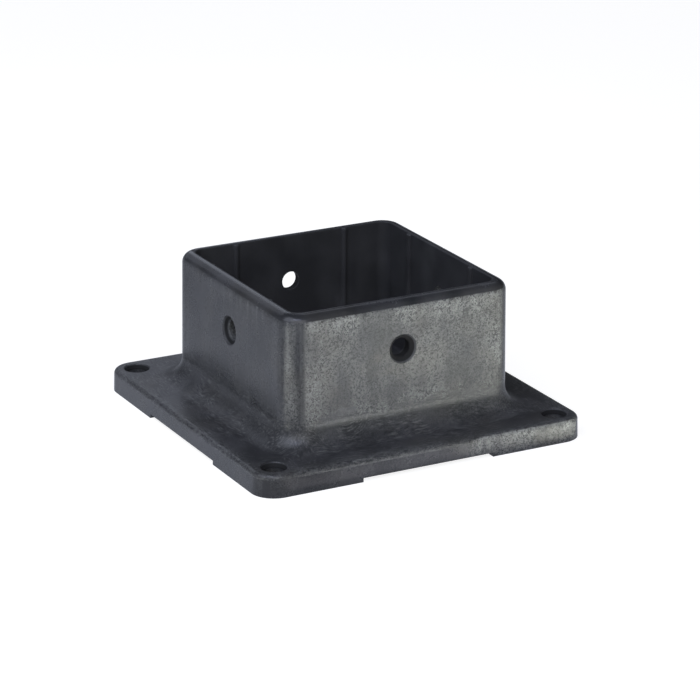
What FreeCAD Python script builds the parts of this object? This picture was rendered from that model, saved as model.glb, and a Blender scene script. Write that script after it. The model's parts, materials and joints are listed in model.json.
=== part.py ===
import FreeCAD, Part
import math
import os

# Timber post base, one moulded piece. Millimetres, +Z up. The origin is on the ground,
# in the middle of the square plate. The four walls are alike, one quarter turn apart.

# The post and its socket
post_width = 90.0            # side of the square timber post
post_clearance = 0.5         # gap between the post and a rib's crest, on each side
rib_height = 1.25            # rib crest to socket wall, at the mouth
rib_radius = 1.4             # half-round section of a rib
rib_from_post_corner = 19.0  # rib's middle to the post's corner, along the wall
rib_below_rim = 0.3          # rib's top end below the rim
rib_end_round = 0.7          # rounding of a rib's top end
wall_thickness = 5.45        # socket wall, at the rim
mouth_corner_radius = 5.0    # inner vertical corner, at the rim
rim_corner_radius = 9.5      # outer vertical corner, at the rim
inner_draft = 0.5            # degrees, the socket narrows towards its floor
outer_draft = 0.75           # degrees, the wall spreads towards the plate
lip_flat = 0.6               # level top of the rim, between its two roundings
lip_inner_round = 0.5        # rounding of the rim's inner edge
floor_round = 1.0            # rounding where the socket's wall meets its floor
drain_diameter = 12.0        # hole in the middle of the socket's floor

# Heights
base_height = 65.0           # ground to rim
pad_height = 1.7             # ground to the plate's underside
plate_thickness = 7.8        # plate, above the pads
floor_thickness = 7.8        # socket floor, above the pads

# The plate and its four pads
ledge_width = 22.8           # plate edge beyond the rim, seen from above
plate_corner_radius = 10.0   # vertical corner, at the ground
plate_draft = 1.8            # degrees, the plate narrows upwards
plate_edge_round = 2.0       # rounding of the plate's top edge
foot_fillet = 10.0           # hollow rounding between wall and plate
pad_width = 45.0             # square pad under each corner of the plate

# Holes for anchors through the plate and for screws into the post
countersink_angle = 90.0     # degrees, full angle of every countersink
anchor_diameter = 8.2
anchor_head_diameter = 11.4
anchor_from_edge = 10.0      # hole's middle to the plate's edge, at the ground
screw_diameter = 8.2
screw_head_diameter = 12.6
screw_below_rim = 20.5       # hole's middle below the rim

# Sizes that follow
crest_half = post_width / 2 + post_clearance
mouth_half = crest_half + rib_height
rim_half = mouth_half + wall_thickness
plate_half = rim_half + ledge_width
plate_top = pad_height + plate_thickness
floor_top = pad_height + floor_thickness
lip_outer_round = wall_thickness - lip_flat - lip_inner_round
rib_offset = post_width / 2 - rib_from_post_corner
anchor_offset = plate_half - anchor_from_edge
screw_level = base_height - screw_below_rim
channel_half = plate_half - pad_width

# How far a cutting body reaches past the face that it opens
overrun = 1.0
# How near a value has to be to another to count as equal
tolerance = 0.01

UP = FreeCAD.Vector(0, 0, 1)
QUARTER_TURNS = (0, 90, 180, 270)


def outer_growth(level):
    """How much wider the outer wall is at a level than at the rim, on each side."""
    return (base_height - level) * math.tan(math.radians(outer_draft))


def inner_shrink(level):
    """How much narrower the socket is at a level than at the rim, on each side."""
    return (base_height - level) * math.tan(math.radians(inner_draft))


def plate_shrink(level):
    """How much narrower the plate is at a level than at the ground, on each side."""
    return level * math.tan(math.radians(plate_draft))


def turned(shape, degrees):
    """A copy of a shape, turned about the vertical axis."""
    copy = shape.copy()
    copy.rotate(FreeCAD.Vector(), UP, degrees)
    return copy


def rounded_square(half, radius, level):
    """Outline of a square with round corners, centred on the vertical axis."""
    straight = half - radius
    slant = radius * math.sqrt(0.5)
    edges = []
    for degrees in QUARTER_TURNS:
        side = Part.LineSegment(FreeCAD.Vector(half, -straight, level), FreeCAD.Vector(half, straight, level))
        corner = Part.Arc(
            FreeCAD.Vector(half, straight, level),
            FreeCAD.Vector(straight + slant, straight + slant, level),
            FreeCAD.Vector(straight, half, level),
        )
        edges.append(turned(side.toShape(), degrees))
        edges.append(turned(corner.toShape(), degrees))
    return Part.Wire(edges)


def drafted_block(low, high):
    """Solid between two rounded squares, each given as half width, corner radius and level."""
    return Part.makeLoft([rounded_square(*low), rounded_square(*high)], True, True)


def edges_at(shape, level, most):
    """Edges that lie on a level and reach no further than a distance along X or Y."""
    found = []
    for edge in shape.Edges:
        box = edge.BoundBox
        reach = max(abs(box.XMin), abs(box.XMax), abs(box.YMin), abs(box.YMax))
        is_level = abs(box.ZMin - level) < tolerance and abs(box.ZMax - level) < tolerance
        if is_level and reach < most:
            found.append(edge)
    return found


def plate():
    """Square plate from the ground up, its sides drafted and its top edge rounded."""
    shrink = plate_shrink(plate_top)
    top_half = plate_half - shrink
    block = drafted_block(
        (plate_half, plate_corner_radius, 0),
        (top_half, plate_corner_radius - shrink, plate_top),
    )
    top_edges = edges_at(block, plate_top, plate_half)
    return block.makeFillet(plate_edge_round, top_edges)


def socket_block():
    """Outer form of the socket, still solid, from the ground to the rounded rim."""
    growth = outer_growth(0)
    block = drafted_block(
        (rim_half + growth, rim_corner_radius + growth, 0),
        (rim_half, rim_corner_radius, base_height),
    )
    rim_edges = edges_at(block, base_height, rim_half + tolerance)
    return block.makeFillet(lip_outer_round, rim_edges)


def outer_form():
    """Socket standing on the plate, with a hollow rounding all the way round its foot."""
    body = plate().fuse(socket_block()).removeSplitter()
    foot_half = rim_half + outer_growth(plate_top)
    foot_edges = edges_at(body, plate_top, foot_half + tolerance)
    return body.makeFillet(foot_fillet, foot_edges)


def cavity():
    """Space of the socket, above its floor. It reaches past the rim."""
    top = base_height + overrun
    shrink = inner_shrink(floor_top)
    rise = inner_shrink(top)
    block = drafted_block(
        (mouth_half - shrink, mouth_corner_radius - shrink, floor_top),
        (mouth_half - rise, mouth_corner_radius - rise, top),
    )
    floor_edges = edges_at(block, floor_top, mouth_half)
    return block.makeFillet(floor_round, floor_edges)


def rib():
    """Half-round upright rib on the wall that faces +X, sunk into the wall and the floor."""
    bottom = floor_top - overrun
    top = base_height - rib_below_rim
    axis_foot = FreeCAD.Vector(crest_half + rib_radius, rib_offset, bottom)
    bar = Part.makeCylinder(rib_radius, top - bottom, axis_foot, UP)
    return bar.makeFillet(rib_end_round, edges_at(bar, top, plate_half))


def countersunk_hole(diameter, head_diameter, mouth, depth, direction):
    """Cutting body of a hole: a cylinder with a cone at its mouth. It goes in along direction."""
    radius = diameter / 2
    head_radius = head_diameter / 2
    slope = math.tan(math.radians(countersink_angle / 2))
    cone_depth = (head_radius - radius) / slope
    start = mouth - direction * overrun
    cone = Part.makeCone(head_radius + overrun * slope, radius, cone_depth + overrun, start, direction)
    shaft = Part.makeCylinder(radius, depth + 2 * overrun, start, direction)
    return cone.fuse(shaft)


def anchor_hole():
    """Hole down through one corner of the plate and its pad."""
    mouth = FreeCAD.Vector(anchor_offset, anchor_offset, plate_top)
    return countersunk_hole(anchor_diameter, anchor_head_diameter, mouth, plate_top, -UP)


def screw_hole():
    """Level hole through the middle of the wall that faces +X, countersunk from outside."""
    face = rim_half + outer_growth(screw_level)
    wall = face - (mouth_half - inner_shrink(screw_level))
    mouth = FreeCAD.Vector(face, 0, screw_level)
    inwards = FreeCAD.Vector(-1, 0, 0)
    return countersunk_hole(screw_diameter, screw_head_diameter, mouth, wall, inwards)


def channel():
    """Shallow channel right across the underside along X, between the pads."""
    length = 2 * (plate_half + overrun)
    corner = FreeCAD.Vector(-length / 2, -channel_half, -overrun)
    return Part.makeBox(length, 2 * channel_half, pad_height + overrun, corner)


def drain_hole():
    """Hole down through the middle of the socket's floor."""
    start = FreeCAD.Vector(0, 0, pad_height - overrun)
    return Part.makeCylinder(drain_diameter / 2, floor_thickness + 2 * overrun, start, UP)


def post_base():
    """The whole moulded piece."""
    body = outer_form().cut(cavity())
    mouth_edges = edges_at(body, base_height, mouth_half + tolerance)
    body = body.makeFillet(lip_inner_round, mouth_edges)
    mirrored_rib = rib().mirror(FreeCAD.Vector(), FreeCAD.Vector(0, 1, 0))
    ribs = [turned(one, degrees) for one in (rib(), mirrored_rib) for degrees in QUARTER_TURNS]
    cutters = [turned(channel(), 0), turned(channel(), 90), drain_hole()]
    for degrees in QUARTER_TURNS:
        cutters.append(turned(anchor_hole(), degrees))
        cutters.append(turned(screw_hole(), degrees))
    return body.fuse(ribs).cut(cutters).removeSplitter()


def write(shape, node):
    """Check that a node is one sound solid, and write it."""
    if not shape.isValid() or len(shape.Solids) != 1:
        raise ValueError(node + " isn't one sound solid")
    solid = shape.Solids[0]
    solid.exportStep(os.path.join("parts", node + ".step"))
    box = solid.optimalBoundingBox(False, False)
    size = [round(length, 2) for length in (box.XLength, box.YLength, box.ZLength)]
    print(node, "size", size, "lowest point", round(box.ZMin, 3))
    print(node, "volume in cubic centimetres", round(solid.Volume / 1000, 2))


os.makedirs("parts", exist_ok=True)
write(post_base(), "post_base")
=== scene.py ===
import json
import math

import bmesh
import bpy
import numpy as np
from bpy.props import FloatProperty, FloatVectorProperty, PointerProperty
from mathutils import Matrix, Vector


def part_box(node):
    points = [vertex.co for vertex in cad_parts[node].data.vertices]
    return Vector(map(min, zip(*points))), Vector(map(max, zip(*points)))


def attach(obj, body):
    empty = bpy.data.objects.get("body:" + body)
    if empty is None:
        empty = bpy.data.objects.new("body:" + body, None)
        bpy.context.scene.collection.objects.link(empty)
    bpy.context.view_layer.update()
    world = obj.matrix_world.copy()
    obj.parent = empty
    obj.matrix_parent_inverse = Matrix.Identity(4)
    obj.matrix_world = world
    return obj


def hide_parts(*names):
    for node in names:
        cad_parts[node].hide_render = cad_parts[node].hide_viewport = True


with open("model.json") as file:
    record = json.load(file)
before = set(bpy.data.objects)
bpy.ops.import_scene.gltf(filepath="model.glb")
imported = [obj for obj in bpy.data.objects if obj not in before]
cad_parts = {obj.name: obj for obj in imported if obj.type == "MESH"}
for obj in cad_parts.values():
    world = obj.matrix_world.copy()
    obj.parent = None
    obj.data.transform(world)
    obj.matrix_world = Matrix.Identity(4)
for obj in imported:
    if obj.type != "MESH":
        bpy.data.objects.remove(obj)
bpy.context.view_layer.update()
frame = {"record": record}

bl_info = {
    "name": "Timber Post Base",
    "version": (1, 0, 0),
    "blender": (4, 5, 0),
    "location": "View3D > Sidebar > Post Base",
    "description": "Builds the moulded surface and the studio of a timber post base around its solid",
    "category": "Add Mesh",
}

MM = 0.001
NODE = "post_base"
BODY = "root"

# The solid's box, straight after it is loaded
LOW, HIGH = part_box(NODE)
MOUNTS = {mount["name"]: mount for mount in frame["record"]["mounts"]}
ANCHORS = MOUNTS["anchor_bolts"]["dims"]
SCREW = MOUNTS["screw_hole_right"]


def length(name, description, default):
    """A size that a user can set, in metres."""
    return FloatProperty(
        name=name, description=description, default=default, unit="LENGTH", subtype="DISTANCE"
    )


def angle(name, description, default):
    """An angle that a user can set, given here in degrees."""
    return FloatProperty(
        name=name, description=description, default=math.radians(default), unit="ROTATION", subtype="ANGLE"
    )


def colour(name, description, default):
    """A linear colour that a user can set."""
    return FloatVectorProperty(name=name, description=description, default=default, size=3, subtype="COLOR")


def number(name, description, default):
    """A number without a unit that a user can set."""
    return FloatProperty(name=name, description=description, default=default)


class MouldingSizes(bpy.types.PropertyGroup):
    """Sizes of the moulding, the same as the solid's"""

    plate_width: length("Plate width", "Side of the square plate at the ground", HIGH.x - LOW.x)
    height: length("Height", "Ground to rim", HIGH.z)
    pad_height: length("Pad height", "Ground to the plate's underside", 1.7 * MM)
    plate_thickness: length("Plate thickness", "Plate above the pads", 7.8 * MM)
    floor_thickness: length("Floor thickness", "Socket floor above the pads", 7.8 * MM)
    pad_width: length("Pad width", "Side of the square pad under each corner", 45 * MM)
    rim_width: length("Rim width", "Outside of the socket at the rim", 104.4 * MM)
    mouth_width: length("Mouth width", "Inside of the socket at the rim", 93.5 * MM)
    rib_gap: length("Rib gap", "Clear width between the crests of facing ribs", 91 * MM)
    rib_radius: length("Rib radius", "Half-round section of a rib", 1.4 * MM)
    rib_offset: length("Rib offset", "Middle of a wall to a rib's middle", 26 * MM)
    rib_below_rim: length("Rib below rim", "Rib's top end below the rim", 0.3 * MM)
    rib_end_round: length("Rib end rounding", "Rounding of a rib's top end", 0.7 * MM)
    plate_corner: length("Plate corner", "Radius of the plate's corners at the ground", 10 * MM)
    rim_corner: length("Rim corner", "Outer radius of the socket's corners at the rim", 9.5 * MM)
    mouth_corner: length("Mouth corner", "Inner radius of the socket's corners at the rim", 5 * MM)
    plate_draft: angle("Plate draft", "Slope of the plate's sides", 1.8)
    outer_draft: angle("Outer draft", "Slope of the socket's outer walls", 0.75)
    inner_draft: angle("Inner draft", "Slope of the socket's inner walls", 0.5)
    plate_edge_round: length("Plate edge rounding", "Rounding of the plate's top edge", 2 * MM)
    foot_fillet: length("Foot fillet", "Hollow rounding between wall and plate", 10 * MM)
    lip_flat: length("Lip flat", "Level top of the rim", 0.6 * MM)
    lip_inner_round: length("Lip inner rounding", "Rounding of the rim's inner edge", 0.5 * MM)
    floor_round: length("Floor rounding", "Rounding between socket wall and floor", 1 * MM)
    screw_radius: length("Screw hole radius", "Holes in the walls", SCREW["dims"]["r_mm"] * MM)
    screw_head_radius: length("Screw head radius", "Countersink of a wall's hole", 6.3 * MM)
    screw_level: length("Screw hole level", "Middle of a wall's hole above the ground", SCREW["pos_m"][2])
    anchor_radius: length("Anchor hole radius", "Holes in the plate", ANCHORS["hole_r_mm"] * MM)
    anchor_head_radius: length("Anchor head radius", "Countersink of a plate's hole", 5.7 * MM)
    anchor_offset: length("Anchor offset", "Plate's middle to a hole", ANCHORS["spacing_x_mm"] * MM / 2)
    drain_radius: length("Drain radius", "Hole in the socket's floor", 6 * MM)
    hole_edge_round: length("Hole edge rounding", "Worn rounding of a hole's edge", 0.25 * MM)


class PlasticLook(bpy.types.PropertyGroup):
    """Colours and finish of the moulded plastic"""

    dark: colour("Dark tone", "Darker tone of the plastic", (0.024, 0.025, 0.028))
    pale: colour("Pale tone", "Paler tone of the plastic", (0.055, 0.056, 0.061))
    warm: colour("Warm tone", "Brownish clouds on the grainy faces", (0.085, 0.080, 0.070))
    # Also the tone of the pale specks that paint glints on the grain and light in the bores
    scuff_and_painted_light: colour("Scuff tone", "Flow marks, streaks and rubbed places", (0.22, 0.225, 0.22))
    # Pale tone of the worn lip and of the painted highlight on the plate's edge at the lit end
    wear_and_highlight: colour("Worn tone", "Most rubbed stretches of the edges", (0.30, 0.305, 0.295))
    # Painted shade in the holes' cones
    painted_hole_shade: colour("Deep tone", "Grimy cones of the holes", (0.004, 0.004, 0.0045))
    smooth_roughness: number("Smooth roughness", "Roughness of the roundings", 0.24)
    grain_roughness: number("Grain roughness", "Roughness of the grainy upright faces", 0.50)


class StudioLook(bpy.types.PropertyGroup):
    """Camera, floor and lights. A light's strength is its brightness, where 1 renders white"""

    azimuth: angle("Camera azimuth", "Turn of the camera round the object", -28.343)
    elevation: angle("Camera elevation", "Height of the camera as an angle", 19.478)
    roll: angle("Camera roll", "Tilt of the picture", 0.27)
    distance: length("Camera distance", "Camera to the object's origin along the view", 1317.2 * MM)
    aside: length("Camera aside", "Camera right of the line to the origin", 3.617 * MM)
    above: length("Camera above", "Camera above the line to the origin", 25.888 * MM)
    focal_pixels: number("Focal length", "In pixels of the square frame", 3115.3)
    floor_tone: number("Floor tone", "Grey level of the pale floor", 0.80)
    floor_glow: number("Floor glow", "Glow that shows the floor white", 0.868)
    gloss_near: number("Gloss near", "Floor in the gloss, beside the object", 0.495)
    gloss_far: number("Gloss far", "Floor in the gloss, far away", 0.25)
    key: number("Key", "Strength of the soft light at the front", 1.5)
    left: number("Left", "Strength of the soft light at the left", 1.75)
    back: number("Back", "Strength of the soft lights behind", 0.80)
    glint: number("Glint", "Strength of the small high light at the front", 7.5)
    strip: number("Strip", "Strength of the low strip at the front", 3.0)
    table: number("Table", "Strength of the lit table round the object", 4.0)
    room: number("Room", "Level of the plain room around", 0.02)


# How finely the surface is divided, over one eighth of the moulding
WINDOW_HALF = 9 * MM
WINDOW_COLUMNS = 8
PLAIN_COLUMNS = 4
RIB_COLUMNS = 10
RIB_SPREAD = math.radians(84)
REACH_COLUMNS = 2
SHARE_COLUMNS = 4
CORNER_COLUMNS = 12
PAD_EDGE_COLUMNS = REACH_COLUMNS + SHARE_COLUMNS + CORNER_COLUMNS
SHARED_REACH = 40 * MM
PLATE_EDGE_STEPS = 9
FOOT_STEPS = 18
LIP_STEPS = 14
FLOOR_ROUND_STEPS = 5
RIB_END_STEPS = 6
HOLE_EDGE_STEPS = 3
CONE_STEPS = 3
BORE_STEPS = 4
DRAIN_STEPS = 4
PATCH_SHARES = (0, 0.12, 0.38, 0.7, 1)
LEDGE_SHARES = (0, 0.03, 0.15, 0.32, 0.5, 0.68, 0.85, 0.97, 1)

# Rows of the surface: how near one stands beside a rounding, levels over the ground, and depths under
# the rim
SUPPORT = 0.4 * MM
ROWS_UNDER_WINDOW = (24 * MM, 29 * MM)
ROWS_OVER_WINDOW = (57 * MM,)
LOWEST_INNER_ROW = 17 * MM
LIP_ROWS = (0, 0.03 * MM, 0.12 * MM)

# How the patches are joined, and a number that is next to nothing
MERGE_WITHIN = 0.0008 * MM
SHARP_ANGLE = math.radians(32)
TINY = 1e-9

# Masks of the finish, stored on the points, and the slack that decides whether a point is in one
ZONES = ("grain", "border", "ledge", "inside")
SLACK = 0.05 * MM
HOLE_SLACK = 0.1 * MM

# Where the socket's wall counts as one, past its foot and its lip, and where the plate's side does
WALL_PAST_FOOT = 1.2 * MM
WALL_PAST_LIP = 1.5 * MM
SIDE_DEPTH = 2 * MM

# The lit end of the plate's sides, where a highlight is painted: where it begins and is full along the side,
# how squarely a side with it faces Y, how far it climbs up the edge's rounding, and how far under the
# rounding its border begins
LIT_END_ALONG = (14 * MM, 24 * MM)
LIT_END_FACING = (0.3, 0.9)
LIT_END_CLIMB = 1.5 * MM
LIT_END_DROP = 1 * MM

# Strengths of the grain, whose pale specks are painted glints on the faces towards +Y and -Y and painted
# light in the bores
FAINT_GRAIN = 0.15
CORNER_GRAIN_AND_LIGHT_BAND = 0.5
FACE_GRAIN = 0.85
SIDE_GRAIN = 0.2
BORE_GRAIN_AND_LIGHT = 0.6

# How squarely a point faces Y where the corner's grain, a painted light band, rises and falls again, and
# where a face's grain begins and is full at the face's near end and at its far end; the gap left at the near
# end paints a dark band of shade
CORNER_RISE = (0.4, 0.6)
CORNER_FALL = (0.92, 0.80)
NEAR_START, NEAR_FULL = 0.975, 0.996
FAR_START, FAR_FULL = 0.82, 0.97

# Strengths of the border, whose part at the lit end paints a highlight; heights over the lip's foot where its
# wear begins and is full, and over the edge rounding's foot where the painted highlight of the lit end begins
# and is full; and how wide the border is on a wall and along the plate's edge
PLAIN_BORDER = 0.3
LIT_END_BORDER = 0.35
RIM_WEAR = 0.2
LIT_END_HIGHLIGHT = 0.8
RIM_WEAR_RISE = (0.2 * MM, 1.2 * MM)
LIT_END_HIGHLIGHT_RISE = (-0.2 * MM, 1.2 * MM)
WALL_BORDER = 9 * MM
PLATE_BORDER = 7 * MM
FULL_BORDER = 1 * MM

# The ledge's mask is full up to a level over the plate, and ends at a height over the wall's foot
LEDGE_LEVEL = 1 * MM
LEDGE_CLIMB = 12 * MM

# The depth past which a hole counts as its bore, and the socket's share of the inside mask, which paints
# shade and adds roughness
CONE_DEPTH = 2 * MM
SOCKET_SHARE = 0.65

# The plastic's relief and its index of refraction
RELIEF_HEIGHT = 0.06 * MM
PLASTIC_IOR = 1.5

# The floor in metres: its rings, its bend, and the length that sets how steep the kerb is
FIRST_RING = 0.5
BEND_RADIUS = 12.0
FIRST_KERB_RING = 12.3
FLOOR_RADIUS = 15.0
BEND_LENGTH = 5.0
LEVEL_RINGS = 12
KERB_RINGS = 10
FLOOR_COLUMNS = 96

# The floor in a gloss: how far it is lit, the dim spot, and its tint
LIT_RADIUS = 85 * MM
UNLIT_RADIUS = 250 * MM
DIM_SPOT = (-65 * MM, -135 * MM, 0)
DIM_RADIUS = 35 * MM
DIM_END = 85 * MM
DIM_SHARE = 0.12
GLOSS_TINT = (0.90, 0.96, 1.12)

# The tone that the camera sees under the floor's glow, which takes the shadow
SEEN_TONE = (0.35, 0.35, 0.35)

# The picture's width in pixels, and the camera's sensor in millimetres
PICTURE_WIDTH = 700
SENSOR_WIDTH = 36.0

# Tints of the lights
WARM = (1.03, 1.05, 0.95)
COOL = (0.90, 0.96, 1.12)
NEUTRAL = (0.96, 0.98, 1.03)
MAUVE = (1.02, 0.97, 1.05)
FAINT_BLUE = (0.98, 1.0, 1.04)
BLUE = (0.86, 0.92, 1.30)

# Soft lights: name, the setting and the share of it, azimuth and elevation in degrees, distance and size in
# metres, tint
SOFT_PANELS = (
    ("key", "key", 1, 340, 38, 2.2, (2.66, 1.43), NEUTRAL),
    ("left", "left", 1, 275, 50, 2.2, (1.7, 1.8), COOL),
    ("back", "back", 0.98, 165, 28, 0.55, (0.17, 0.25), COOL),
    ("back_middle", "back", 0.52, 190, 33, 0.55, (0.25, 0.315), COOL),
    ("back_left", "back", 0.16, 207, 15, 2.2, (1.2, 1.05), COOL),
    ("back_high", "back", 0.68, 138, 44, 2.2, (0.8, 0.6), COOL),
    ("glint", "glint", 1, 322, 60, 2.2, (1.1, 0.2), BLUE),
    ("strip", "strip", 0.36, 30, 3.4, 2.2, (1.8, 0.24), WARM),
)

# Lit table, in metres: its level, and for each panel its name, x, y, size, share of the setting, tint
TABLE_LEVEL = 1 * MM
LIT_TABLE = (
    ("lit_table", 0.06, -0.123, (0.06, 0.034), 1, WARM),
    ("lit_table_edge", 0.08, -0.090, (0.05, 0.016), 1.05, WARM),
    ("lit_table_foot", -0.005, -0.0845, (0.11, 0.010), 0.15, MAUVE),
    ("lit_table_foot_right", 0.045, -0.085, (0.05, 0.008), 0.4, WARM),
    ("lit_table_middle", -0.003, -0.129, (0.06, 0.03), 1.65, FAINT_BLUE),
    ("lit_table_front", 0.02, -0.16, (0.10, 0.06), 1.15, WARM),
    ("lit_table_right", 0.115, -0.19, (0.09, 0.22), 0.55, WARM),
    ("lit_table_far", 0.05, -0.245, (0.18, 0.11), 0.42, WARM),
    ("lit_table_end", 0.20, -0.40, (0.12, 0.20), 1, WARM),
    ("lit_table_corner", -0.165, -0.08, (0.08, 0.06), 1.2, WARM),
)


class Form:
    """Half widths, corner centres and levels that follow from the sizes."""

    def __init__(self, sizes):
        self.sizes = sizes
        self.plate_half = sizes.plate_width / 2
        self.rim_half = sizes.rim_width / 2
        self.mouth_half = sizes.mouth_width / 2
        self.plate_top = sizes.pad_height + sizes.plate_thickness
        self.floor_top = sizes.pad_height + sizes.floor_thickness
        self.plate_centre = self.plate_half - sizes.plate_corner
        self.rim_centre = self.rim_half - sizes.rim_corner
        self.mouth_centre = self.mouth_half - sizes.mouth_corner
        self.channel_half = self.plate_half - sizes.pad_width
        self.lip_round = self.rim_half - self.mouth_half - sizes.lip_flat - sizes.lip_inner_round
        self.lip_foot = sizes.height - self.lip_round
        self.foot_top = self.plate_top + sizes.foot_fillet
        self.edge_foot = self.plate_top - sizes.plate_edge_round

    def plate_side(self, level):
        """Half width of the plate at a level."""
        return self.plate_half - level * math.tan(self.sizes.plate_draft)

    def outer_side(self, level):
        """Half width of the socket's outside at a level."""
        return self.rim_half + (self.sizes.height - level) * math.tan(self.sizes.outer_draft)

    def inner_side(self, level):
        """Half width of the socket's inside at a level, apart from its roundings."""
        return self.mouth_half - (self.sizes.height - level) * math.tan(self.sizes.inner_draft)


def stations(half, centre, level):
    """Rows of a profile: half width, corner centre and level of each station."""
    return np.stack(np.broadcast_arrays(half, centre, level), axis=-1).astype(float)


def arc(middle_half, middle_level, radius, first, last, steps):
    """Half widths and levels along an arc. Each point is the middle plus radius times cosine and sine."""
    turn = np.linspace(first, last, steps + 1)
    return middle_half + radius * np.cos(turn), middle_level + radius * np.sin(turn)


def plate_profile(form):
    """The plate's side from the ground up, and its rounded top edge. The side leans in by the draft, and
    the arc's middle lies one radius inside the side and one radius under the top."""
    sizes = form.sizes
    radius = sizes.plate_edge_round
    draft = sizes.plate_draft
    middle_half = form.plate_side(form.edge_foot) - radius / math.cos(draft)
    half, level = arc(middle_half, form.edge_foot, radius, draft, math.pi / 2, PLATE_EDGE_STEPS)
    side_levels = np.array([0, sizes.pad_height, level[0] - SUPPORT])
    half = np.concatenate([form.plate_side(side_levels), half])
    level = np.concatenate([side_levels, level])
    return stations(half, form.plate_centre, level)


def wall_levels(form):
    """Levels that the outer and the inner wall share: the window round a screw hole, and a few more rows."""
    middle = form.sizes.screw_level
    window = middle + np.linspace(-WINDOW_HALF, WINDOW_HALF, 2 * WINDOW_COLUMNS + 1)
    return np.concatenate([ROWS_UNDER_WINDOW, window, ROWS_OVER_WINDOW])


def outer_profile(form):
    """The socket's outside from the plate to the rim: a hollow arc that meets plate and wall, the leaning
    wall, the lip's arc and the lip's level top."""
    sizes = form.sizes
    draft = sizes.outer_draft
    foot = sizes.foot_fillet
    foot_half = form.outer_side(form.foot_top) + foot / math.cos(draft)
    hollow = arc(foot_half, form.foot_top, foot, 1.5 * math.pi, math.pi + draft, FOOT_STEPS)
    lip = form.lip_round
    lip_half = form.outer_side(form.lip_foot) - lip / math.cos(draft)
    rounding = arc(lip_half, form.lip_foot, lip, draft, math.pi / 2, LIP_STEPS)
    levels = wall_levels(form)
    levels = np.concatenate([[hollow[1][-1] + SUPPORT], levels, [rounding[1][0] - SUPPORT]])
    half = np.concatenate([hollow[0], form.outer_side(levels), rounding[0]])
    level = np.concatenate([hollow[1], levels, rounding[1]])
    return stations(half, form.rim_centre, level)


def inner_profile(form):
    """The socket's inside from the rim to the floor: the rim's inner arc, the wall and the floor's arc. The
    rows near a rib's top end are close together, and its end has two rows at one level."""
    sizes = form.sizes
    draft = sizes.inner_draft
    radius = sizes.lip_inner_round
    top = sizes.height
    arc_level = top - radius
    arc_half = form.inner_side(arc_level) + radius / math.cos(draft)
    rib_top = top - sizes.rib_below_rim
    rib_shoulder = rib_top - sizes.rib_end_round
    end = rib_shoulder + sizes.rib_end_round * np.sin(np.linspace(math.pi / 2, 0, RIB_END_STEPS + 1))
    near = np.concatenate([top - np.array(LIP_ROWS), [rib_top], end, [rib_shoulder - SUPPORT]])
    floor = sizes.floor_round
    floor_level = form.floor_top + floor
    floor_half = form.inner_side(floor_level) - floor / math.cos(draft)
    bottom = arc(floor_half, floor_level, floor, -draft, -math.pi / 2, FLOOR_ROUND_STEPS)
    levels = np.concatenate([near, wall_levels(form)[::-1], [LOWEST_INNER_ROW, bottom[1][0] + SUPPORT]])
    rise = np.clip(levels - arc_level, 0, radius)
    in_arc = arc_half - np.sqrt(radius**2 - rise**2)
    half = np.where(levels > arc_level, in_arc, form.inner_side(levels))
    half = np.concatenate([half, bottom[0]])
    level = np.concatenate([levels, bottom[1]])
    return stations(half, form.mouth_centre, level)


def all_columns(form):
    """Columns of the sweep over one eighth of the square, from a wall's middle to a corner's diagonal. Each
    has a place along the wall, a share of the way on to the corner's centre, and an angle round it."""
    sizes = form.sizes
    window = np.linspace(0, WINDOW_HALF, WINDOW_COLUMNS + 1)
    spread = np.linspace(-RIB_SPREAD, RIB_SPREAD, RIB_COLUMNS + 1)
    rib = sizes.rib_offset + sizes.rib_radius * np.sin(spread)
    plain = np.linspace(WINDOW_HALF, rib[0], PLAIN_COLUMNS + 1)[1:-1]
    reach = np.linspace(form.channel_half, SHARED_REACH, REACH_COLUMNS + 1)
    place = np.concatenate([window, plain, rib, reach])
    share = np.linspace(0, 1, SHARE_COLUMNS + 1)[1:]
    turn = np.linspace(0, math.pi / 4, CORNER_COLUMNS + 1)[1:]
    rows = [np.stack([place, 0 * place, 0 * place], axis=-1)]
    rows.append(np.stack([0 * share + SHARED_REACH, share, 0 * share], axis=-1))
    rows.append(np.stack([0 * turn + SHARED_REACH, 0 * turn + 1, turn], axis=-1))
    return np.concatenate(rows)


def sweep(profile, columns):
    """Carries a profile round one eighth of a rounded square. With radius = half width less corner centre,
    x = centre + radius cos(angle) and y = place + share (centre - shared reach) + radius sin(angle)."""
    half, centre, level = (profile[:, k, None] for k in range(3))
    place, share, turn = (columns[None, :, k] for k in range(3))
    radius = half - centre
    x = centre + radius * np.cos(turn)
    y = place + share * (centre - SHARED_REACH) + radius * np.sin(turn)
    return np.stack(np.broadcast_arrays(x, y, level), axis=-1).astype(float)


def with_rib(form, grid):
    """Raises the half-round rib from the inner wall. At a level the rib is a circle about its own axis,
    whose radius shrinks along an arc at the top end, and a point keeps the smaller of wall and circle."""
    sizes = form.sizes
    x, y, z = (grid[..., k] for k in range(3))
    axis = sizes.rib_gap / 2 + sizes.rib_radius
    rib_top = sizes.height - sizes.rib_below_rim
    rounding = sizes.rib_end_round
    rise = np.clip(z - (rib_top - rounding), 0, rounding)
    radius = sizes.rib_radius - rounding + np.sqrt(rounding**2 - rise**2)
    aside = y - sizes.rib_offset
    reach = np.sqrt(np.clip(radius**2 - aside**2, 0, None))
    row = np.arange(len(z))[:, None]
    first_rib_row = np.argmax(z[:, 0] <= rib_top + TINY) + 1
    has_rib = (np.abs(aside) < radius) & (row >= first_rib_row)
    raised = np.where(has_rib, np.minimum(x, axis - reach), x)
    return np.stack([raised, y, z], axis=-1)


def ring(radius, first, last, count):
    """Points of a circle about the origin: radius times the cosine and sine of evenly spaced angles."""
    turn = np.linspace(first, last, count)
    return radius * np.stack([np.cos(turn), np.sin(turn)], axis=-1)


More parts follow.
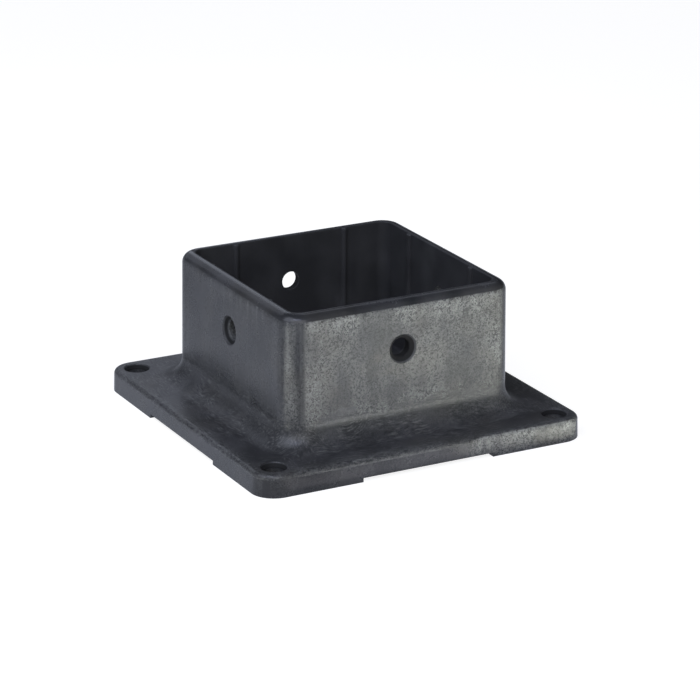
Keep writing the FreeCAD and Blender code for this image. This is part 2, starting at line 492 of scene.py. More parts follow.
def star_patch(loop, middle, radius, first, last):
    """Flat patch between an arc and a loop with as many points. A row is the mean of both by its share."""
    share = np.array(PATCH_SHARES)[:, None, None]
    start = np.asarray(middle) + ring(radius, first, last, len(loop))
    return (1 - share) * start + share * loop


def hole_profile(radius, head_radius, depth, edge_round):
    """Radii and depths down a countersunk hole: a worn arc of 45 degrees at its mouth, a cone at 45 degrees
    and a straight bore. The arc's middle lies one rounding deep, so the arc runs smoothly into both."""
    tangent = edge_round * math.tan(math.pi / 8)
    turn = np.linspace(0, math.pi / 4, HOLE_EDGE_STEPS + 1)
    arc_radius = head_radius + tangent - edge_round * np.sin(turn)
    arc_depth = edge_round * (1 - np.cos(turn))
    cone_radius = np.linspace(arc_radius[-1], radius, CONE_STEPS + 1)[1:]
    cone_depth = arc_depth[-1] + (arc_radius[-1] - cone_radius)
    bore_depth = np.linspace(cone_depth[-1], depth, BORE_STEPS + 1)[1:]
    bore_radius = np.full(len(bore_depth), radius)
    return (
        np.concatenate([arc_radius, cone_radius, bore_radius]),
        np.concatenate([arc_depth, cone_depth, bore_depth]),
    )


def screw_hole_patches(form, columns):
    """Half of a wall's hole, with the square windows round it on both faces. A point at a share of the way
    through the wall lies at that share between the outer and the inner face, at its own level."""
    sizes = form.sizes
    place = columns[: WINDOW_COLUMNS + 1, 0]
    rise = np.linspace(-WINDOW_HALF, WINDOW_HALF, 2 * WINDOW_COLUMNS + 1)
    low_side = np.stack([place, 0 * place - WINDOW_HALF], axis=-1)
    far_side = np.stack([0 * rise + WINDOW_HALF, rise], axis=-1)
    high_side = np.stack([place[::-1], 0 * place + WINDOW_HALF], axis=-1)
    loop = np.concatenate([low_side, far_side[1:], high_side[1:]])
    half_turn = (-math.pi / 2, math.pi / 2)
    wall = form.outer_side(sizes.screw_level) - form.inner_side(sizes.screw_level)
    radii, depths = hole_profile(sizes.screw_radius, sizes.screw_head_radius, wall, sizes.hole_edge_round)
    outside = star_patch(loop, (0, 0), radii[0], *half_turn)
    inside = star_patch(loop, (0, 0), radii[-1], *half_turn)
    bore = np.stack([ring(radius, *half_turn, len(loop)) for radius in radii])

    def placed(patch, share):
        """Stands a flat patch upright between the wall's two faces."""
        y = patch[..., 0]
        z = patch[..., 1] + sizes.screw_level
        x = (1 - share) * form.outer_side(z) + share * form.inner_side(z)
        return np.stack([x, y, z], axis=-1)

    through = (depths / wall)[:, None]
    return [placed(outside, 0), placed(bore, through), placed(inside, 1)]


def flat(grid, level):
    """A patch of plane points at one level."""
    return np.concatenate([grid, np.full(grid.shape[:-1] + (1,), level)], axis=-1)


def bore_patch(middle, radii, levels, first, last, count):
    """Wall of an upright hole: a ring of points at each level."""
    rings = [np.asarray(middle) + ring(radius, first, last, count) for radius in radii]
    return np.stack([flat(points, level) for points, level in zip(rings, levels)])


def moulding_patches(form):
    """All patches of one eighth of the moulding. Neighbours share their edge points, so that they join."""
    sizes = form.sizes
    columns = all_columns(form)
    channel_end = WINDOW_COLUMNS + PLAIN_COLUMNS + RIB_COLUMNS + 1
    anchor_start = channel_end + REACH_COLUMNS + SHARE_COLUMNS // 2
    plate = sweep(plate_profile(form), columns)
    outer = sweep(outer_profile(form), columns)
    inner = with_rib(form, sweep(inner_profile(form), columns))
    patches = [plate[1:], plate[:2, channel_end:]]

    # The socket's outside and inside, less the window round the screw hole
    for wall in (outer, inner):
        level = wall[:, 0, 2]
        rows = np.flatnonzero(np.abs(level - sizes.screw_level) < WINDOW_HALF + TINY)
        first, last = rows[0], rows[-1]
        patches.append(wall[: first + 1])
        patches.append(wall[first : last + 1, WINDOW_COLUMNS:])
        patches.append(wall[last:])
    patches.append(np.stack([outer[-1], inner[0]]))
    patches += screw_hole_patches(form, columns)

    # The plate's ledge, less the corner round the anchor hole
    share = np.array(LEDGE_SHARES)[:, None, None]
    ledge = (1 - share) * outer[0] + share * plate[-1]
    patches.append(ledge[:, : anchor_start + 1])
    anchor = np.array([sizes.anchor_offset, sizes.anchor_offset])
    foot = ledge[0, anchor_start:, :2][::-1]
    across = ledge[1:-1, anchor_start, :2]
    edge = ledge[-1, anchor_start:, :2]
    top_loop = np.concatenate([foot, across, edge])
    inner_edge = np.linspace(form.channel_half, form.plate_half, PAD_EDGE_COLUMNS + 1)
    pad_edge = np.stack([inner_edge, 0 * inner_edge + form.channel_half], axis=-1)
    pad_loop = np.concatenate([pad_edge, plate[0, channel_end + 1 :, :2]])
    half_turn = (-0.75 * math.pi, 0.25 * math.pi)
    radii, depths = hole_profile(
        sizes.anchor_radius, sizes.anchor_head_radius, form.plate_top, sizes.hole_edge_round
    )
    top = star_patch(top_loop, anchor, radii[0], *half_turn)
    patches.append(flat(top, form.plate_top))
    patches.append(bore_patch(anchor, radii, form.plate_top - depths, *half_turn, len(top_loop)))
    pad = star_patch(pad_loop, anchor, radii[-1], *half_turn)
    patches.append(flat(pad, 0))

    # The step beside a pad, and the underside between the pads
    high_half = form.plate_side(sizes.pad_height)
    high_edge = np.linspace(form.channel_half, high_half, PAD_EDGE_COLUMNS + 1)
    step_top = np.stack([high_edge, 0 * high_edge + form.channel_half], axis=-1)
    patches.append(np.stack([flat(pad_edge, 0), flat(step_top, sizes.pad_height)]))
    under_loop = np.concatenate([plate[1, : channel_end + 1, :2], step_top[::-1][1:]])
    eighth_turn = (0, math.pi / 4)
    drain = sizes.drain_radius
    floor_loop = inner[-1, :, :2]
    under = star_patch(under_loop, (0, 0), drain, *eighth_turn)
    floor = star_patch(floor_loop, (0, 0), drain, *eighth_turn)
    patches.append(flat(under, sizes.pad_height))
    patches.append(flat(floor, form.floor_top))
    levels = np.linspace(form.floor_top, sizes.pad_height, DRAIN_STEPS + 1)
    patches.append(bore_patch((0, 0), np.full(len(levels), drain), levels, *eighth_turn, len(floor_loop)))
    return patches


def joined(patches):
    """Points and four-sided faces of a list of grid patches, as two arrays."""
    points = []
    faces = []
    start = 0
    for patch in patches:
        rows, columns = patch.shape[:2]
        index = start + np.arange(rows * columns).reshape(rows, columns)
        corners = [index[:-1, :-1], index[:-1, 1:], index[1:, 1:], index[1:, :-1]]
        faces.append(np.stack(corners, axis=-1).reshape(-1, 4))
        points.append(patch.reshape(-1, 3))
        start += rows * columns
    return np.concatenate(points), np.concatenate(faces)


def eightfold(points, faces):
    """The eight mirror images of an eighth: x and y change places or not, and each changes sign or not."""
    all_points = []
    all_faces = []
    for image in range(8):
        moved = points[:, [1, 0, 2]] if image & 4 else points
        signs = [-1 if image & 1 else 1, -1 if image & 2 else 1, 1]
        all_points.append(moved * signs)
        all_faces.append(faces + image * len(points))
    return np.concatenate(all_points), np.concatenate(all_faces)


def closed_mesh(name, points, faces):
    """A mesh from points and faces, with doubled points merged and every face turned outwards."""
    mesh = bpy.data.meshes.new(name)
    mesh.from_pydata(points.tolist(), [], faces.tolist())
    work = bmesh.new()
    work.from_mesh(mesh)
    bmesh.ops.remove_doubles(work, verts=work.verts[:], dist=MERGE_WITHIN)
    bmesh.ops.dissolve_degenerate(work, edges=work.edges[:], dist=MERGE_WITHIN)
    bmesh.ops.recalc_face_normals(work, faces=work.faces[:])
    open_edges = sum(len(edge.link_faces) != 2 for edge in work.edges)
    work.to_mesh(mesh)
    work.free()
    if open_edges:
        raise RuntimeError(f"{name} has {open_edges} edges that don't join two faces")
    mesh.shade_smooth()
    mesh.set_sharp_from_angle(angle=SHARP_ANGLE)
    return mesh


def link(name, data):
    """A new object in the scene."""
    thing = bpy.data.objects.new(name, data)
    bpy.context.scene.collection.objects.link(thing)
    return thing


class Nodes:
    """Short ways to add and join the nodes of one tree."""

    def __init__(self, tree):
        self.tree = tree

    def add(self, kind, inputs=None, **settings):
        """Adds a node. An input is a value or another node's output."""
        node = self.tree.nodes.new(kind)
        for key, value in settings.items():
            setattr(node, key, value)
        for key, value in (inputs or {}).items():
            self.join(value, node.inputs[key])
        return node

    def join(self, value, socket):
        """Sets a socket, or links an output to it."""
        if isinstance(value, bpy.types.NodeSocket):
            self.tree.links.new(value, socket)
        else:
            socket.default_value = value

    def math(self, operation, first, second=0.0, third=0.0, clamp=False):
        """One operation on up to three values."""
        inputs = {0: first, 1: second, 2: third}
        node = self.add("ShaderNodeMath", inputs, operation=operation, use_clamp=clamp)
        return node.outputs[0]

    def product(self, first, *others):
        """Values multiplied in order."""
        for other in others:
            first = self.math("MULTIPLY", first, other)
        return first

    def ramp(self, value, low, high, to_low=0.0, to_high=1.0):
        """Passes smoothly from one number to another while a value goes from low to high."""
        inputs = {"Value": value, "From Min": low, "From Max": high, "To Min": to_low, "To Max": to_high}
        node = self.add("ShaderNodeMapRange", inputs, interpolation_type="SMOOTHSTEP")
        return node.outputs[0]

    def vector_math(self, operation, first, second=(0, 0, 0), scale=1.0):
        """One operation on one or two vectors. A length is the node's second output."""
        inputs = {0: first, 1: second, 3: scale}
        node = self.add("ShaderNodeVectorMath", inputs, operation=operation)
        return node.outputs[1 if operation == "LENGTH" else 0]

    def mix(self, factor, first, second):
        """Mixes two colours. They are the node's sockets 6 and 7, and the mixed one is its output 2."""
        return self.add("ShaderNodeMix", {0: factor, 6: first, 7: second}, data_type="RGBA").outputs[2]

    def over(self, base, share, tone):
        """A tone laid over a colour by a share."""
        return self.mix(share, base, (*tone, 1))

    def stored(self, name):
        """A mask that is stored on the points."""
        return self.add("ShaderNodeAttribute", attribute_name=name).outputs["Fac"]

    def noise(self, vector, scale, detail=2.0, roughness=0.5, distortion=0.0):
        """Soft noise over a vector, with its scale in waves to the metre."""
        inputs = {"Vector": vector, "Scale": scale, "Detail": detail, "Roughness": roughness}
        inputs["Distortion"] = distortion
        return self.add("ShaderNodeTexNoise", inputs).outputs[0]

    def stretched(self, vector, scale):
        """A vector scaled by a different number along each axis."""
        return self.add("ShaderNodeMapping", {"Vector": vector, "Scale": scale}).outputs[0]


def new_material(name):
    """A material with an empty tree. Returns it and the helper for its nodes."""
    material = bpy.data.materials.new(name)
    material.use_nodes = True
    material.node_tree.nodes.clear()
    return material, Nodes(material.node_tree)


def new_group(name, values, outputs):
    """A shader group with a vector and named values as inputs, and values as outputs. Returns it, its
    helper, its inputs by name and its end node."""
    tree = bpy.data.node_groups.new(name, "ShaderNodeTree")
    tree.interface.new_socket("Vector", in_out="INPUT", socket_type="NodeSocketVector")
    for label, default in values.items():
        socket = tree.interface.new_socket(label, in_out="INPUT", socket_type="NodeSocketFloat")
        socket.default_value = default
    for label in outputs:
        tree.interface.new_socket(label, in_out="OUTPUT", socket_type="NodeSocketFloat")
    nodes = Nodes(tree)
    return tree, nodes, nodes.add("NodeGroupInput").outputs, nodes.add("NodeGroupOutput")


def use_group(nodes, tree, inputs):
    """Adds a group node. Its inputs are given by name. Returns its outputs."""
    return nodes.add("ShaderNodeGroup", inputs, node_tree=tree).outputs


def mottle_group():
    """Cloudy mixing of two tones with a fine speckle, as in plastic with mixed pigment. The clouds are a soft
    noise, and the speckle is small cells of random tone over a coarser noise."""
    values = {"Cloud Scale": 60.0, "Speckle Scale": 2000.0, "Speckle": 0.12}
    tree, nodes, given, end = new_group("pigment_mottle", values, ("Tone", "Speckle"))
    vector = given["Vector"]
    cloud = nodes.noise(vector, given["Cloud Scale"], detail=1.6, distortion=0.2)
    cells = nodes.add("ShaderNodeTexVoronoi", {"Vector": vector, "Scale": given["Speckle Scale"]})
    coarse = nodes.noise(vector, nodes.product(given["Speckle Scale"], 0.35), roughness=0.6)
    both = nodes.math("MULTIPLY_ADD", coarse, 0.7, nodes.product(cells.outputs["Color"], 0.55))
    speckle = nodes.ramp(both, 0.35, 0.90)
    added = nodes.product(nodes.math("SUBTRACT", speckle, 0.5), given["Speckle"])
    tone = nodes.math("ADD", nodes.ramp(cloud, 0.24, 0.76), added, clamp=True)
    nodes.join(tone, end.inputs["Tone"])
    nodes.join(speckle, end.inputs["Speckle"])
    return tree


def streaks_group():
    """Streaks drawn out along Z, thin across it."""
    tree, nodes, given, end = new_group("drawn_streaks", {"Scale": 320.0}, ("Streaks",))
    drawn = nodes.stretched(given["Vector"], (1.0, 1.0, 0.07))
    fine = nodes.noise(drawn, given["Scale"], detail=3.0, roughness=0.6)
    nodes.join(nodes.ramp(fine, 0.52, 0.74), end.inputs["Streaks"])
    return tree


def flow_group():
    """Short curled strokes of the melt, pale and dark: noise drawn out along the nearest wall, with a ragged
    change between walls, on a vector that a wide soft noise bends first, and kept in patches."""
    tree, nodes, given, end = new_group("flow_marks", {"Scale": 1500.0, "Bend": 0.013}, ("Pale", "Dark"))
    vector = given["Vector"]
    wide = nodes.add("ShaderNodeTexNoise", {"Vector": vector, "Scale": 45.0, "Detail": 1.5}).outputs["Color"]
    centred = nodes.vector_math("SUBTRACT", wide, (0.5, 0.5, 0.5))
    bent = nodes.vector_math("ADD", vector, nodes.vector_math("SCALE", centred, scale=given["Bend"]))
    along_x, along_y = (
        nodes.noise(nodes.stretched(bent, drawn), given["Scale"], roughness=0.6)
        for drawn in ((0.16, 1.0, 1.0), (1.0, 0.16, 1.0))
    )
    parts = nodes.add("ShaderNodeSeparateXYZ", {"Vector": nodes.vector_math("ABSOLUTE", vector)}).outputs
    side = nodes.math("SUBTRACT", parts["X"], parts["Y"])
    ragged = nodes.ramp(nodes.noise(vector, 60.0), 0.3, 0.7, -0.045, 0.045)
    beside_x = nodes.ramp(nodes.math("ADD", side, ragged), -0.004, 0.004)
    change = nodes.product(beside_x, nodes.math("SUBTRACT", along_y, along_x))
    strokes = nodes.math("ADD", along_x, change)
    patches = nodes.ramp(nodes.noise(vector, 85.0), 0.34, 0.56)
    nodes.join(nodes.product(nodes.ramp(strokes, 0.50, 0.72), patches), end.inputs["Pale"])
    nodes.join(nodes.product(nodes.ramp(strokes, 0.50, 0.30), patches), end.inputs["Dark"])
    return tree


class Finish:
    """Masks and patterns that the plastic's colour, roughness and relief share."""

    def __init__(self, nodes):
        self.place = nodes.add("ShaderNodeTexCoord").outputs["Object"]
        grain, self.border, ledge, self.inside = (nodes.stored(name) for name in ZONES)
        self.outside = nodes.math("SUBTRACT", 1.0, self.inside)

        # The grain ends in a ragged line at the foot of the wall, and the ledge has none of it
        ragged = nodes.noise(self.place, 110.0, detail=3.0, roughness=0.6)
        ragged = nodes.ramp(ragged, 0.3, 0.7, -0.20, 0.20)
        above = nodes.ramp(nodes.math("ADD", ledge, ragged), 0.38, 0.55, 1.0, 0.0)
        off_ledge = nodes.ramp(ledge, 0.03, 0.0)
        self.grain = nodes.product(grain, nodes.math("MAXIMUM", above, off_ledge))
        self.ledge = nodes.product(ledge, nodes.math("SUBTRACT", 1.0, self.grain))

        vector = {"Vector": self.place}
        mottle = use_group(nodes, mottle_group(), vector)
        self.tone = mottle["Tone"]
        self.speckle = mottle["Speckle"]
        self.streaks = use_group(nodes, streaks_group(), vector)["Streaks"]
        flow = use_group(nodes, flow_group(), vector)
        self.in_marks = nodes.product(nodes.ramp(self.ledge, 0.0, 0.6, 0.05, 1.0), self.outside)
        self.pale_marks = nodes.product(flow["Pale"], self.in_marks)
        self.dark_marks = nodes.product(flow["Dark"], self.in_marks)


def plastic_colour(nodes, finish, look):
    """Two tones of pigment, and over them in turn: dark blots and a rubbed edge on the ledge, warm clouds,
    flow marks, streaks, pale specks that paint glints on the grain and light in the bores, the worn lip and a
    painted highlight on the plate's lit end, pits in the grain, and painted shade in the socket and the
    holes' cones."""
    place, grain, border, ledge = finish.place, finish.grain, finish.border, finish.ledge
    inside, outside, speckle = finish.inside, finish.outside, finish.speckle
    tone = nodes.math("MULTIPLY_ADD", ledge, 0.12, finish.tone)
    base = nodes.mix(tone, (*look.dark, 1), (*look.pale, 1))
    blot = nodes.noise(place, 75.0, detail=3.0, roughness=0.55, distortion=0.8)
    base = nodes.over(base, nodes.product(nodes.ramp(blot, 0.52, 0.64, to_high=0.7), ledge), look.dark)
    rubbed = nodes.ramp(speckle, 0.0, 1.0, to_high=0.38)
    base = nodes.over(base, nodes.product(border, ledge, rubbed), look.scuff_and_painted_light)
    cloud = nodes.noise(place, 38.0, detail=3.0, roughness=0.6, distortion=0.4)
    warm = nodes.product(nodes.ramp(cloud, 0.42, 0.70, to_high=0.8), nodes.ramp(grain, 0.0, 1.0, 0.28, 0.9))
    base = nodes.over(base, nodes.product(warm, outside), look.warm)
    base = nodes.over(base, nodes.product(finish.pale_marks, 0.42), look.scuff_and_painted_light)
    base = nodes.over(base, nodes.product(finish.dark_marks, 0.9), look.dark)

    # Streaks show on all walls, and specks follow the grain, where they are painted glints. Both are stronger
    # near a border
    some_grain = nodes.math("MAXIMUM", grain, nodes.ramp(grain, 0.05, 0.14, to_high=0.40))
    drawn = nodes.product(finish.streaks, nodes.ramp(border, 0.0, 1.0, 0.12, 0.5), some_grain)
    base = nodes.over(base, drawn, look.scuff_and_painted_light)
    patch = nodes.noise(nodes.stretched(place, (1.0, 1.0, 0.4)), 110.0, detail=3.0, roughness=0.6)
    patch = nodes.ramp(patch, 0.36, 0.62, 0.45, 1.35)
    specks = nodes.product(speckle, nodes.ramp(border, 0.0, 1.0, 0.42, 0.90), patch, grain)
    base = nodes.over(base, specks, look.scuff_and_painted_light)
    # The worn lip, and a painted highlight on the plate's edge at the lit end
    wear_and_highlight = nodes.product(nodes.ramp(border, 1.0, 2.0, to_high=0.9), nodes.ramp(grain, 0.65, 0.95))
    base = nodes.over(base, nodes.product(wear_and_highlight, outside), look.wear_and_highlight)
    pits = nodes.product(nodes.ramp(speckle, 0.30, 0.0), grain, 0.6)
    base = nodes.over(base, pits, look.dark)

    # Painted shade darkens the socket, which has faint smudges, and darkens the holes' cones more
    base = nodes.over(base, nodes.product(inside, inside, 0.95), look.dark)
    smudge = nodes.noise(nodes.stretched(place, (1.0, 1.0, 0.3)), 70.0)
    smudge = nodes.product(nodes.ramp(smudge, 0.50, 0.72, to_high=0.07), inside)
    base = nodes.over(base, smudge, look.scuff_and_painted_light)
    return nodes.over(base, nodes.ramp(inside, 0.7, 1.0, to_high=0.9), look.painted_hole_shade)


def plastic_roughness(nodes, finish, look):
    """Smooth on the roundings, rougher with the grain, on the ledge and inside, and a little uneven."""
    rough = nodes.ramp(finish.grain, 0.0, 1.0, look.smooth_roughness, look.grain_roughness)
    rough = nodes.math("MULTIPLY_ADD", finish.inside, 0.6, rough)
    rough = nodes.math("MULTIPLY_ADD", finish.ledge, 0.13, rough)
    return nodes.math("ADD", rough, nodes.ramp(finish.tone, 0.0, 1.0, -0.04, 0.04))


def plastic_relief(nodes, finish):
    """The bump of the speckle and of the pale flow marks, which is deepest in the grain."""
    depth = nodes.ramp(finish.grain, 0.0, 1.0, 0.06, 0.55)
    depth = nodes.math("MULTIPLY_ADD", finish.in_marks, 0.14, depth)
    height = nodes.math("MULTIPLY_ADD", finish.pale_marks, 1.5, finish.speckle)
    bump = nodes.add("ShaderNodeBump", {"Height": height, "Strength": depth, "Distance": RELIEF_HEIGHT})
    return bump.outputs["Normal"]


def plastic_material(look):
    """Dark recycled plastic with a satin gloss."""
    material, nodes = new_material("dark_moulded_plastic_finish")
    finish = Finish(nodes)
    inputs = {
        "Base Color": plastic_colour(nodes, finish, look),
        "Roughness": plastic_roughness(nodes, finish, look),
        "Normal": plastic_relief(nodes, finish),
        "IOR": PLASTIC_IOR,
    }
    shader = nodes.add("ShaderNodeBsdfPrincipled", inputs)
    nodes.add("ShaderNodeOutputMaterial", {"Surface": shader.outputs["BSDF"]})
    return material


def soft_step(low, high, values):
    """Rises smoothly from 0 to 1 between two limits: 3 s squared less 2 s cubed, with s the clipped share."""
    share = np.clip((values - low) / (high - low), 0, 1)
    return share * share * (3 - 2 * share)


def facing_y(form, normals, z):
    """How squarely each point faces +Y or -Y: the size of its normal's part along Y. On the lip and on the
    plate, that is divided by the length of the normal's level part, so that a rounded edge counts as its
    side does."""
    part = np.abs(normals[:, 1])
    level_part = np.hypot(normals[:, 0], normals[:, 1]) + TINY
    return np.where((z > form.lip_foot) | (z < form.plate_top), part / level_part, part)


def wall_grain(along, facing):
    """Grain of the socket's walls, whose pale specks are painted glints: strong on the faces towards +Y and
    -Y and faint elsewhere. At a face's near end, where along is negative, it stops short at the face's edge,
    which paints a dark band of shade, and comes back weaker on the corner as a painted light band. At the far
    end it fades out round the corner."""
    near_end = along < 0
    corner = CORNER_GRAIN_AND_LIGHT_BAND * near_end * soft_step(*CORNER_RISE, facing) * soft_step(*CORNER_FALL, facing)
    start = np.where(near_end, NEAR_START, FAR_START)
    full = np.where(near_end, NEAR_FULL, FAR_FULL)
    return FAINT_GRAIN + corner + FACE_GRAIN * soft_step(start, full, facing)


def zone_masks(form, points, normals):
    """The masks of the finish, one number for each point. Grain is that of wall_grain on the socket's walls,
    and its pale specks paint glints and light. It is faint on the plate's side, full along the lit end of the
    sides that face +Y and -Y, where it paints a highlight, and middling in the bores of the anchor holes and
    of the holes that face +X and -X, where it paints light. Border rises from 0 to 1 towards the edges of a
    wall and towards the plate's outer edge, and goes past 1 on the worn lip and where a highlight is painted
    on the plate's edge at the lit end. Ledge is 1 on the plate's top and fades up the hollow rounding. Inside
    is 1 in the holes apart from those bores, and less in the socket, and paints shade there."""
    sizes = form.sizes
    x, y, z = np.abs(points).T
    far = np.maximum(x, y)
    near = np.minimum(x, y)

    # The socket, the holes, their bores and their cones
    socket = (far < form.mouth_half + sizes.lip_inner_round + SLACK) & (z > form.floor_top - SLACK)
    screw = np.hypot(near, z - sizes.screw_level) < sizes.screw_head_radius - HOLE_SLACK
    from_anchor = np.hypot(x - sizes.anchor_offset, y - sizes.anchor_offset)
    anchor = from_anchor < sizes.anchor_head_radius - HOLE_SLACK
    sunk = socket | screw | anchor
    depth = np.where(anchor, form.plate_top - z, form.outer_side(z) - far)
    bore = (depth > CONE_DEPTH) & ~socket & (anchor | (screw & (x > y)))
    cone = (anchor | screw) & ~bore & ~socket
    # Inside marks painted shade: full in the cones, less in the socket
    inside = np.where(cone, 1.0, SOCKET_SHARE * socket)

    # The walls, and the plate's side with its lit end, where a highlight is painted
    wall = ~sunk & (z > form.foot_top - WALL_PAST_FOOT) & (z < form.lip_foot + WALL_PAST_LIP)
    along = -points[:, 0] * np.sign(points[:, 1])
    facing = facing_y(form, normals, z)
    lit_end = soft_step(*LIT_END_ALONG, along) * soft_step(*LIT_END_FACING, facing)
    side = (z < form.edge_foot + lit_end * LIT_END_CLIMB + SLACK) & (far > form.plate_half - SIDE_DEPTH)
    side_grain = SIDE_GRAIN + (1 - SIDE_GRAIN) * lit_end
    grain = np.where(side, side_grain, wall_grain(along, facing)) * (wall | side)
    # The bores get middling grain, whose pale specks paint light into them
    grain = np.where(bore, BORE_GRAIN_AND_LIGHT, grain)

    # The borders, which go past 1 on the worn lip, and on the plate's edge at the lit end, where a highlight
    # is painted
    inset = np.minimum(form.rim_centre - near, form.lip_foot - z)
    inset = np.minimum(inset, z - form.foot_top)
    elsewhere = PLAIN_BORDER + LIT_END_BORDER * lit_end * (z > form.edge_foot - LIT_END_DROP)
    border = np.where(wall, np.clip(1 - inset / WALL_BORDER, 0, 1), elsewhere)
    border += RIM_WEAR * wall * soft_step(*RIM_WEAR_RISE, z - form.lip_foot)
    border += LIT_END_HIGHLIGHT * side * lit_end * soft_step(*LIT_END_HIGHLIGHT_RISE, z - form.edge_foot)

    # The ledge, and the border along its outer edge
    ledge_end = form.foot_top + LEDGE_CLIMB
    ledge = ~sunk & ~side & (z > form.edge_foot - SLACK) & (z < ledge_end)
    edge_border = soft_step(PLATE_BORDER, FULL_BORDER, form.plate_half - far)
    border = np.where(ledge & (z < form.plate_top + SLACK), edge_border, border)
    ledge = ledge * soft_step(ledge_end, form.plate_top + LEDGE_LEVEL, z)
    return grain, border, ledge, inside


def mark_zones(mesh, form):
    """Stores the masks of the finish on the points."""
    points = np.empty((len(mesh.vertices), 3))
    normals = np.empty((len(mesh.vertices), 3))
    mesh.vertices.foreach_get("co", points.ravel())
    mesh.vertices.foreach_get("normal", normals.ravel())
    for name, values in zip(ZONES, zone_masks(form, points, normals)):
        layer = mesh.attributes.new(name, "FLOAT", "POINT")
        layer.data.foreach_set("value", values.astype(np.float32))


def floor_material(studio):
    """Pale floor. The camera sees it glow white, with the object's faint shadow. In a gloss it glows beside
    the object and fades with the distance from it, like a table top with a lamp over it, and it is dim round
    a spot before the object's corner."""
    material, nodes = new_material("pale_floor")
    path = nodes.add("ShaderNodeLightPath").outputs
    glossy = path["Is Glossy Ray"]
    seen = nodes.math("MAXIMUM", path["Is Camera Ray"], glossy)
    seen = nodes.math("MAXIMUM", seen, path["Is Transmission Ray"])
    place = nodes.add("ShaderNodeTexCoord").outputs["Object"]
    away = nodes.vector_math("LENGTH", place)
    in_gloss = nodes.ramp(away, LIT_RADIUS, UNLIT_RADIUS, studio.gloss_near, studio.gloss_far)
    from_spot = nodes.vector_math("LENGTH", nodes.vector_math("SUBTRACT", place, DIM_SPOT))
    in_gloss = nodes.product(in_gloss, nodes.ramp(from_spot, DIM_RADIUS, DIM_END, DIM_SHARE, 1.0))
    levels = {"Factor": glossy, "A": studio.floor_glow, "B": in_gloss}
    strength = nodes.add("ShaderNodeMix", levels, data_type="FLOAT").outputs[0]
    tint = nodes.mix(glossy, (1, 1, 1, 1), (*GLOSS_TINT, 1))
    tone = studio.floor_tone
    matt = nodes.add("ShaderNodeBsdfDiffuse", {"Color": (tone, tone, tone, 1)}).outputs[0]
    faint = nodes.add("ShaderNodeBsdfDiffuse", {"Color": (*SEEN_TONE, 1)}).outputs[0]
    glow = nodes.add("ShaderNodeEmission", {"Color": tint, "Strength": strength}).outputs[0]
    bright = nodes.add("ShaderNodeAddShader", {0: faint, 1: glow}).outputs[0]
    both = nodes.add("ShaderNodeMixShader", {0: seen, 1: matt, 2: bright}).outputs[0]
    nodes.add("ShaderNodeOutputMaterial", {"Surface": both})
    return material


def floor_mesh():
    """Round floor with a low kerb far away. A ring at each radius has the level (radius past the bend)
    squared over a length, so the floor is flat inside the bend."""
    level_part = np.linspace(FIRST_RING, BEND_RADIUS, LEVEL_RINGS)
    kerb = np.linspace(FIRST_KERB_RING, FLOOR_RADIUS, KERB_RINGS)
    radius = np.concatenate([level_part, kerb])[:, None]
    turn = np.linspace(0, 2 * math.pi, FLOOR_COLUMNS + 1)[:-1]
    rise = np.clip(radius - BEND_RADIUS, 0, None) ** 2 / BEND_LENGTH
    rings = np.stack([radius * np.cos(turn), radius * np.sin(turn), rise + 0 * turn], axis=-1)
    points = np.concatenate([np.zeros((1, 3)), rings.reshape(-1, 3)])
    index = 1 + np.arange(len(radius) * FLOOR_COLUMNS).reshape(len(radius), FLOOR_COLUMNS)
    after = np.roll(index, -1, axis=1)
    quads = np.stack([index[:-1], index[1:], after[1:], after[:-1]], axis=-1).reshape(-1, 4)
    middle = np.stack([0 * index[0], index[0], after[0]], axis=-1)
    mesh = bpy.data.meshes.new("floor")
    mesh.from_pydata(points.tolist(), [], middle.tolist() + quads.tolist())
    mesh.shade_smooth()
    return mesh


def direction(azimuth, elevation):
    """A direction of length 1. Azimuth 0 is -Y and turns towards +X, and elevation rises towards +Z."""
    level = math.cos(elevation)
    return Vector((math.sin(azimuth) * level, -math.cos(azimuth) * level, math.sin(elevation)))


def panel_light(name, place, back, size, strength, tint):
    """A rectangle light at a place, turned away from a direction. Its power is pi times area and strength."""
    light = bpy.data.lights.new(name, "AREA")
    light.shape = "RECTANGLE"
    light.size, light.size_y = size
    light.energy = math.pi * size[0] * size[1] * strength
    light.color = tint
    lamp = link(name, light)
    turn = Vector(back).to_track_quat("Z", "Y").to_matrix().to_4x4()
    lamp.matrix_world = Matrix.Translation(place) @ turn


def soft_panels(studio):
    """The soft lights round the object. Each faces it from its azimuth, elevation and distance."""
    for name, setting, share, azimuth, elevation, distance, size, tint in SOFT_PANELS:
        away = direction(math.radians(azimuth), math.radians(elevation))
        panel_light(name, away * distance, away, size, getattr(studio, setting) * share, tint)


def lit_table(studio):
    """The lit table: flat panels just over the floor that shine upwards, each over a stretch of it."""
    for name, x, y, size, share, tint in LIT_TABLE:
        panel_light(name, (x, y, TABLE_LEVEL), (0, 0, -1), size, studio.table * share, tint)


def studio_camera(studio):
    """Camera of the picture, from its angles, its distance along the view and its two offsets across it."""
    back = direction(studio.azimuth, studio.elevation)
    right = Vector((math.cos(studio.azimuth), math.sin(studio.azimuth), 0))
    up = back.cross(right)
    cosine = math.cos(studio.roll)
    sine = math.sin(studio.roll)
    right, up = cosine * right + sine * up, cosine * up - sine * right
    place = back * studio.distance + right * studio.aside + up * studio.above
    data = bpy.data.cameras.new("studio_camera")
    data.sensor_width = SENSOR_WIDTH
    data.lens = studio.focal_pixels * data.sensor_width / PICTURE_WIDTH
    data.clip_end = 4 * FLOOR_RADIUS
    camera = link("studio_camera", data)
    turn = Matrix((right, up, back)).transposed()
    camera.matrix_world = Matrix.Translation(place) @ turn.to_4x4()
    bpy.context.scene.camera = camera


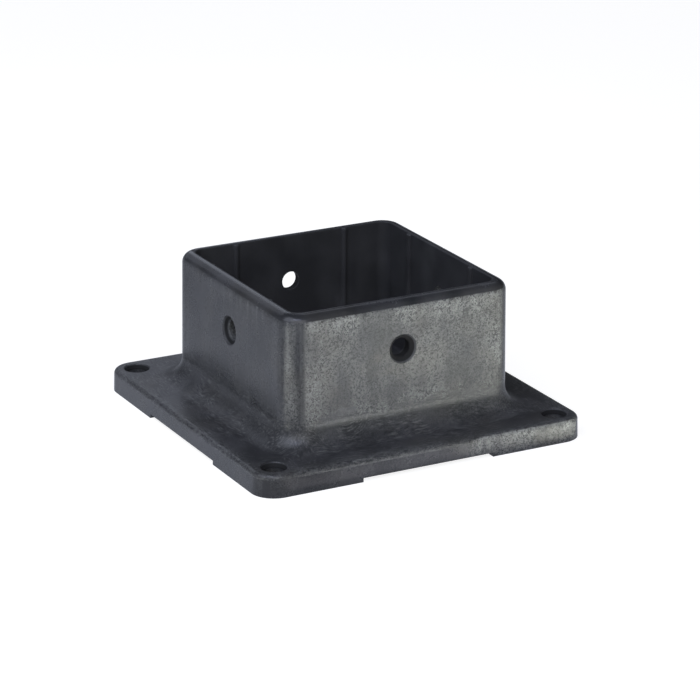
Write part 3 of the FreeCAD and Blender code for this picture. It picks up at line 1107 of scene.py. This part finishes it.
class POSTBASE_OT_moulding(bpy.types.Operator):
    """Builds the moulded plastic base"""

    bl_idname = "post_base.moulding"
    bl_label = "Moulded base"

    def execute(self, context):
        form = Form(context.scene.moulding_sizes)
        points, faces = eightfold(*joined(moulding_patches(form)))
        mesh = closed_mesh("moulded_base", points, faces)
        mark_zones(mesh, form)
        base = link("moulded_base", mesh)
        base.data.materials.append(plastic_material(context.scene.plastic_look))
        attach(base, BODY)
        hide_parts(NODE)
        return {"FINISHED"}


class POSTBASE_OT_studio(bpy.types.Operator):
    """Sets up the floor, the lights, the room and the camera"""

    bl_idname = "post_base.studio"
    bl_label = "Studio"

    def execute(self, context):
        studio = context.scene.studio_look
        floor = link("floor", floor_mesh())
        floor.data.materials.append(floor_material(studio))
        soft_panels(studio)
        lit_table(studio)
        world = bpy.data.worlds.new("room")
        world.use_nodes = True
        level = studio.room
        world.node_tree.nodes["Background"].inputs["Color"].default_value = (level, level, level, 1)
        context.scene.world = world
        context.scene.view_settings.view_transform = "Standard"
        studio_camera(studio)
        return {"FINISHED"}


class POSTBASE_PT_panel(bpy.types.Panel):
    """Lists the pieces and the studio"""

    bl_label = "Timber Post Base"
    bl_idname = "POSTBASE_PT_panel"
    bl_space_type = "VIEW_3D"
    bl_region_type = "UI"
    bl_category = "Post Base"

    def draw(self, context):
        layout = self.layout
        layout.operator(POSTBASE_OT_moulding.bl_idname)
        layout.operator(POSTBASE_OT_studio.bl_idname)


CLASSES = (
    MouldingSizes,
    PlasticLook,
    StudioLook,
    POSTBASE_OT_moulding,
    POSTBASE_OT_studio,
    POSTBASE_PT_panel,
)


def register():
    """Makes the classes and the scene's settings known."""
    for one in CLASSES:
        bpy.utils.register_class(one)
    bpy.types.Scene.moulding_sizes = PointerProperty(type=MouldingSizes)
    bpy.types.Scene.plastic_look = PointerProperty(type=PlasticLook)
    bpy.types.Scene.studio_look = PointerProperty(type=StudioLook)


def unregister():
    """Takes the classes and the scene's settings away."""
    del bpy.types.Scene.studio_look
    del bpy.types.Scene.plastic_look
    del bpy.types.Scene.moulding_sizes
    for one in reversed(CLASSES):
        bpy.utils.unregister_class(one)


def main():
    """Builds everything in order."""
    register()
    bpy.ops.post_base.moulding()
    bpy.ops.post_base.studio()


if __name__ == "__main__":
    main()
